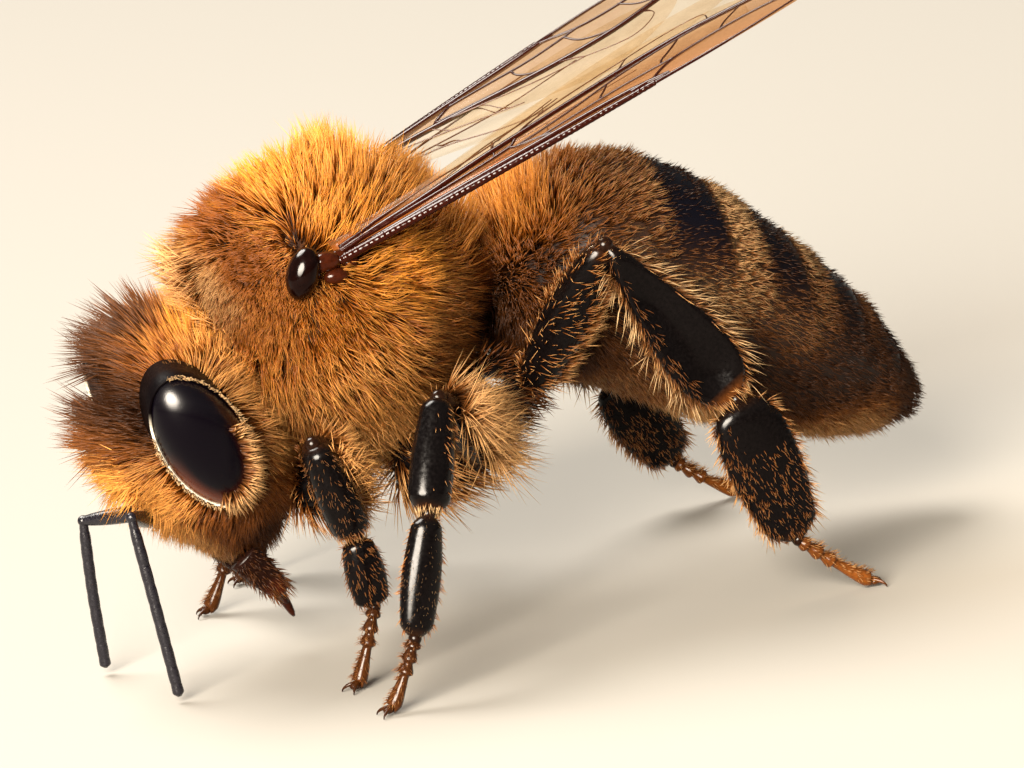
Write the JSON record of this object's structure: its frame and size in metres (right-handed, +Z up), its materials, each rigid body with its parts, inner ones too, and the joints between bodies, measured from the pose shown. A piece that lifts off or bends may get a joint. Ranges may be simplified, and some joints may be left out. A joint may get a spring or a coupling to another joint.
{
  "type": "honey bee",
  "caption": "Still, life-size worker honey bee standing on its feet with its head lowered to feed and its wings swept up and back.",
  "frame": {"origin": "middle of the bounding box's base, on the floor under the bee", "axes": "+X to the bee's rear, along its length; +Y to the bee's right; +Z up"},
  "size_m": [0.0136, 0.009, 0.0095],
  "materials": {
    "golden_coat": "golden orange fur, erect and soft, over dark skin",
    "abdomen_coat": "short brown-gold hair lying backwards, with bare blue-black bands",
    "compound_eye": "glossy black-brown",
    "dark_chitin": "glossy dark brown shell with sparse golden hairs",
    "amber_mouthparts": "satin reddish brown",
    "wing_membrane": "clear amber film with brown veins"
  },
  "bodies": {
    "root": {"abdomen_segment_1": "abdomen_coat", "abdomen_segment_2": "abdomen_coat", "abdomen_segment_3": "abdomen_coat", "abdomen_segment_4": "abdomen_coat", "abdomen_segment_5": "abdomen_coat", "abdomen_segment_6": "abdomen_coat", "head": "golden_coat", "left_antenna_flagellum": "dark_chitin", "left_antenna_scape": "dark_chitin", "left_compound_eye": "compound_eye", "left_forewing": "wing_membrane", "left_front_basitarsus": "dark_chitin", "left_front_coxa": "dark_chitin", "left_front_femur": "dark_chitin", "left_front_foot": "dark_chitin", "left_front_tibia": "dark_chitin", "left_hind_basitarsus": "dark_chitin", "left_hind_coxa": "dark_chitin", "left_hind_femur": "dark_chitin", "left_hind_foot": "dark_chitin", "left_hind_tibia": "dark_chitin", "left_hindwing": "wing_membrane", "left_mandible": "amber_mouthparts", "left_mid_basitarsus": "dark_chitin", "left_mid_coxa": "dark_chitin", "left_mid_femur": "dark_chitin", "left_mid_foot": "dark_chitin", "left_mid_tibia": "dark_chitin", "left_tegula": "dark_chitin", "proboscis": "amber_mouthparts", "right_antenna_flagellum": "dark_chitin", "right_antenna_scape": "dark_chitin", "right_compound_eye": "compound_eye", "right_forewing": "wing_membrane", "right_front_basitarsus": "dark_chitin", "right_front_coxa": "dark_chitin", "right_front_femur": "dark_chitin", "right_front_foot": "dark_chitin", "right_front_tibia": "dark_chitin", "right_hind_basitarsus": "dark_chitin", "right_hind_coxa": "dark_chitin", "right_hind_femur": "dark_chitin", "right_hind_foot": "dark_chitin", "right_hind_tibia": "dark_chitin", "right_hindwing": "wing_membrane", "right_mandible": "amber_mouthparts", "right_mid_basitarsus": "dark_chitin", "right_mid_coxa": "dark_chitin", "right_mid_femur": "dark_chitin", "right_mid_foot": "dark_chitin", "right_mid_tibia": "dark_chitin", "right_tegula": "dark_chitin", "thorax": "golden_coat"}
  },
  "joints": []
}
